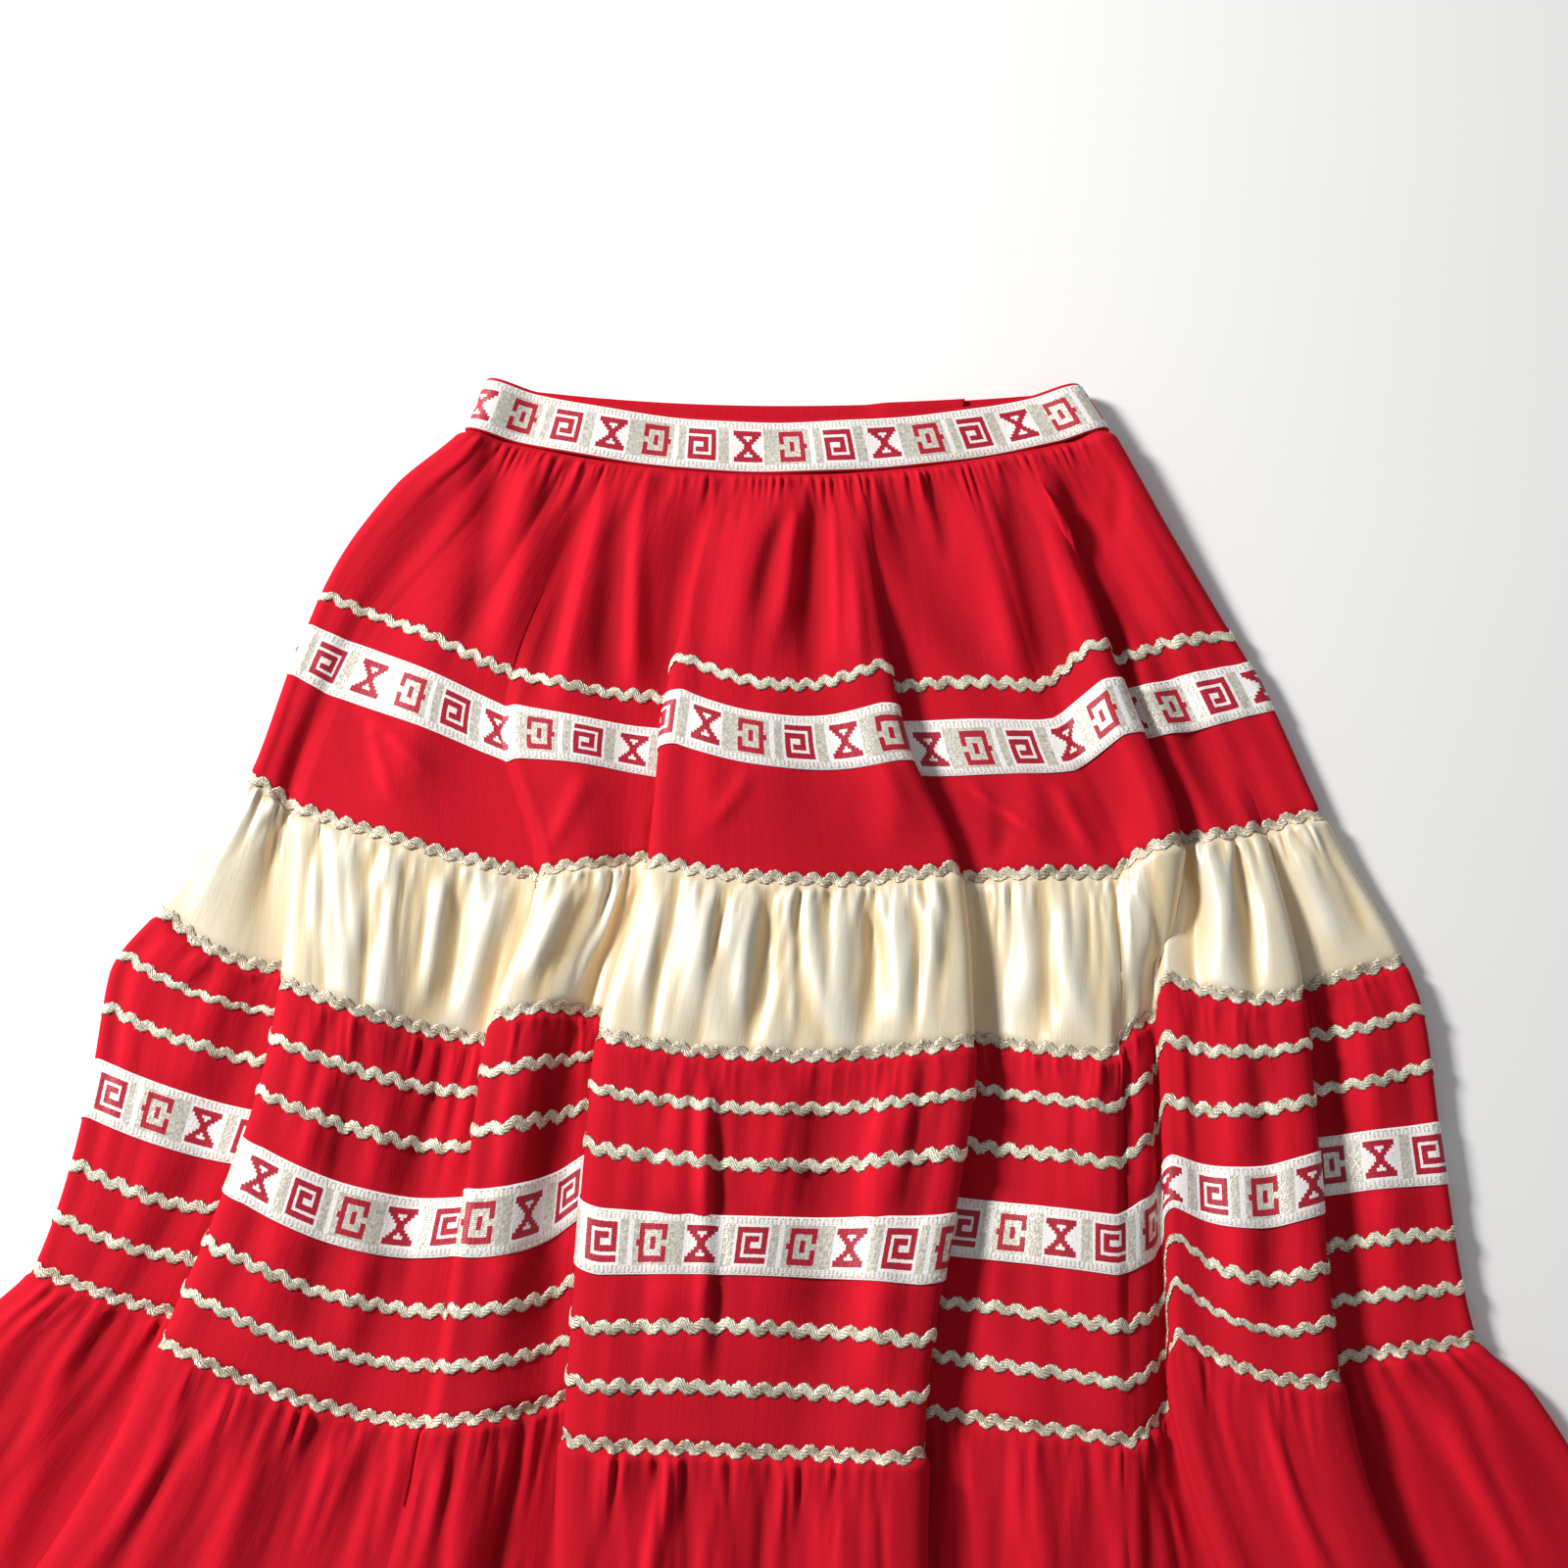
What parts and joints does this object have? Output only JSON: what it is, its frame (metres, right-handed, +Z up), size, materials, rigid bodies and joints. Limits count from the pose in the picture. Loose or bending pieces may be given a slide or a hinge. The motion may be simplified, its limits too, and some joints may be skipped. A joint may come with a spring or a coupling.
{
  "type": "square dance skirt",
  "caption": "Tiered, gathered square dance skirt laid flat, in red cotton and cream satin, with patterned woven ribbon and rows of metallic rickrack.",
  "frame": {"origin": "middle of the skirt's bounding box, on the surface that it lies on", "axes": "+X across the skirt to the picture's right, +Y from the hem to the waist, +Z up from the surface"},
  "size_m": [0.826, 0.6704, 0.0228],
  "materials": {
    "cotton_red": "plain woven cotton, slight sheen",
    "satin_cream": "satin",
    "ribbon_woven": "woven ribbon with metallic thread",
    "rickrack_metallic": "metallic braid"
  },
  "bodies": {
    "root": {"waistband": "cotton_red", "tier_1_red": "cotton_red", "tier_2_cream": "satin_cream", "tier_3_red": "cotton_red", "tier_4_red": "cotton_red", "waist_ribbon": "ribbon_woven", "ribbon_tier_1": "ribbon_woven", "ribbon_tier_3": "ribbon_woven", "rickrack_tier_1": "rickrack_metallic", "rickrack_seam_1_2": "rickrack_metallic", "rickrack_seam_2_3": "rickrack_metallic", "rickrack_tier_3_first": "rickrack_metallic", "rickrack_tier_3_second": "rickrack_metallic", "rickrack_tier_3_third": "rickrack_metallic", "rickrack_tier_3_fourth": "rickrack_metallic", "rickrack_seam_3_4": "rickrack_metallic"}
  },
  "joints": []
}
